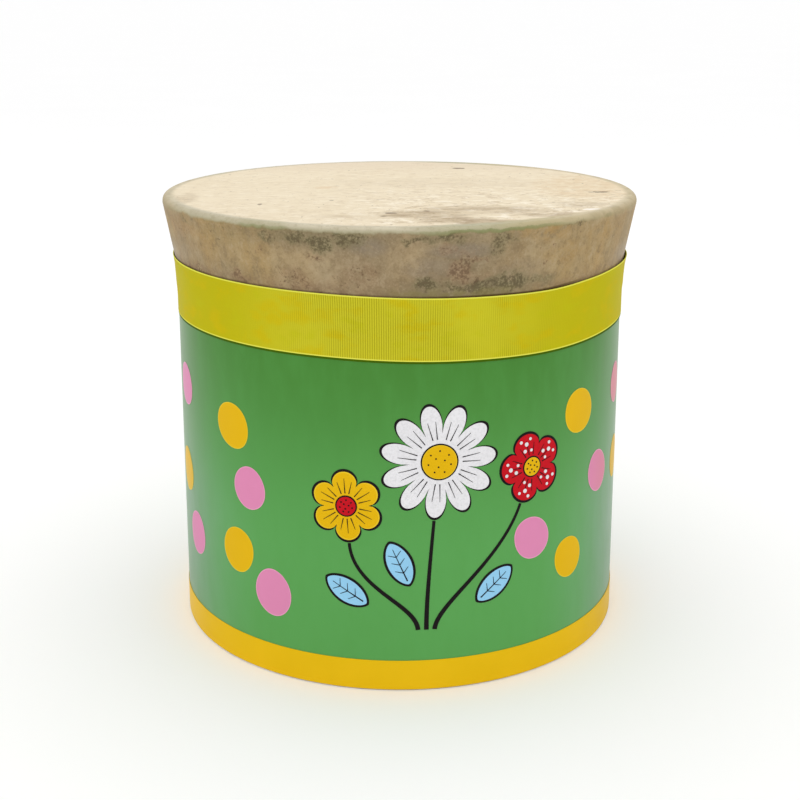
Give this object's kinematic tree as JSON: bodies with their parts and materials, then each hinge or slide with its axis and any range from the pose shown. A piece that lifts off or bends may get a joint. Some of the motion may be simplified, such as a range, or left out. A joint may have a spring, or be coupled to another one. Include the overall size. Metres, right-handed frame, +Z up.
{
  "type": "hand drum",
  "caption": "Child's tombak hand drum: straight open tube with a flared mouth, glued hide head, ribbon, foot band, film dots and flowers.",
  "frame": {"origin": "centre of the foot's rim, on the surface that the drum stands on", "axes": "+Z up along the drum's axis to its head; -Y towards the decorated front; +X to the viewer's right"},
  "size_m": [0.211, 0.211, 0.194],
  "materials": {
    "green_paint": "satin gloss green",
    "hide": "natural hide, matt",
    "yellow_ribbon": "ribbed ribbon",
    "amber_film": "satin film",
    "pink_film": "satin film",
    "white_film": "satin film",
    "black_film": "satin film",
    "red_film": "satin film",
    "blue_film": "satin film"
  },
  "bodies": {
    "root": {"shell": "green_paint", "skin_head": "hide", "ribbon": "yellow_ribbon", "foot_band": "amber_film", "dot_01_pink": "pink_film", "dot_02_amber": "amber_film", "dot_03_pink": "pink_film", "dot_04_amber": "amber_film", "dot_05_pink": "pink_film", "dot_06_amber": "amber_film", "dot_07_pink": "pink_film", "dot_08_pink": "pink_film", "dot_09_amber": "amber_film", "dot_10_amber": "amber_film", "dot_11_pink": "pink_film", "dot_12_pink": "pink_film", "dot_13_amber": "amber_film", "dot_14_pink": "pink_film", "dot_15_amber": "amber_film", "dot_16_pink": "pink_film", "dot_17_amber": "amber_film", "dot_18_pink": "pink_film", "dot_19_pink": "pink_film", "dot_20_amber": "amber_film", "dot_21_pink": "pink_film", "dot_22_amber": "amber_film", "dot_23_pink": "pink_film", "dot_24_pink": "pink_film", "dot_25_amber": "amber_film", "dot_26_pink": "pink_film", "dot_27_amber": "amber_film", "dot_28_pink": "pink_film", "dot_29_pink": "pink_film", "dot_30_amber": "amber_film", "dot_31_pink": "pink_film", "dot_32_amber": "amber_film", "dot_33_pink": "pink_film", "daisy_outline": "black_film", "daisy_petals": "white_film", "daisy_centre": "amber_film", "amber_flower_outline": "black_film", "amber_flower_petals": "amber_film", "amber_flower_centre": "red_film", "red_flower_outline": "black_film", "red_flower_petals": "red_film", "red_flower_centre": "amber_film", "stem_left": "black_film", "stem_middle": "black_film", "stem_right": "black_film", "leaf_left_outline": "black_film", "leaf_left_face": "blue_film", "leaf_middle_outline": "black_film", "leaf_middle_face": "blue_film", "leaf_right_outline": "black_film", "leaf_right_face": "blue_film"}
  },
  "joints": []
}
